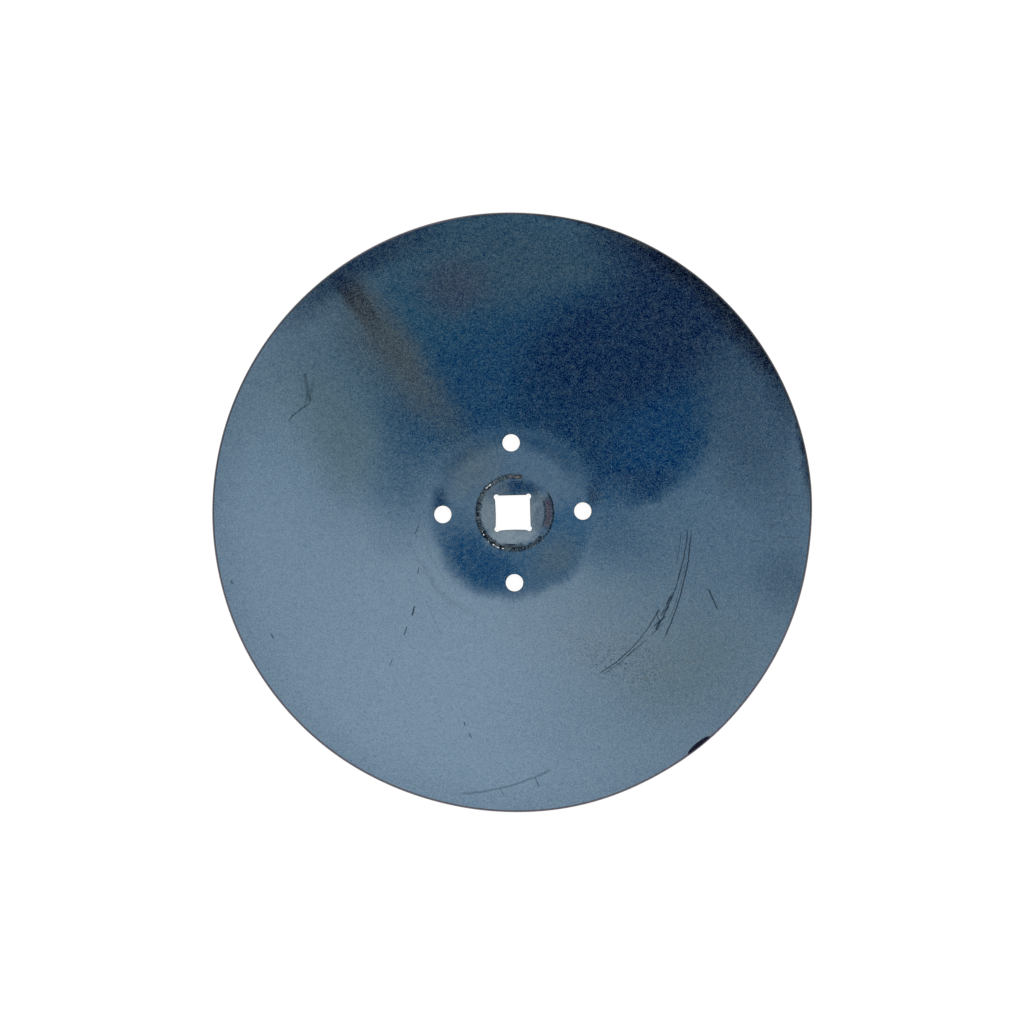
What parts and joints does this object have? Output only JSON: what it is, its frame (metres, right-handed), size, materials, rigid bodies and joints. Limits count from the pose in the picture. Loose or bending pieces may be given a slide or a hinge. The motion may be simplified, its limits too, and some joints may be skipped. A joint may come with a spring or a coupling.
{
  "type": "disc blade",
  "caption": "Concave plain-edged tillage disc blade: dished steel plate with a flat centre, a square shaft opening with relieved corners, and bolt holes on a circle around it.",
  "frame": {"origin": "centre of the square opening, on the blade's axis, in the plane of the convex seat face that the blade rests on", "axes": "+Z along the blade's axis, out of the hollow side of the dish; X and Y parallel to the sides of the square opening and through the bolt holes"},
  "size_m": [0.66, 0.66, 0.0946],
  "materials": {
    "blued_steel": "satin heat-blued steel plate, cloudy from grey-blue to deep blue"
  },
  "bodies": {
    "root": {"disc_blade": "blued_steel"}
  },
  "joints": []
}
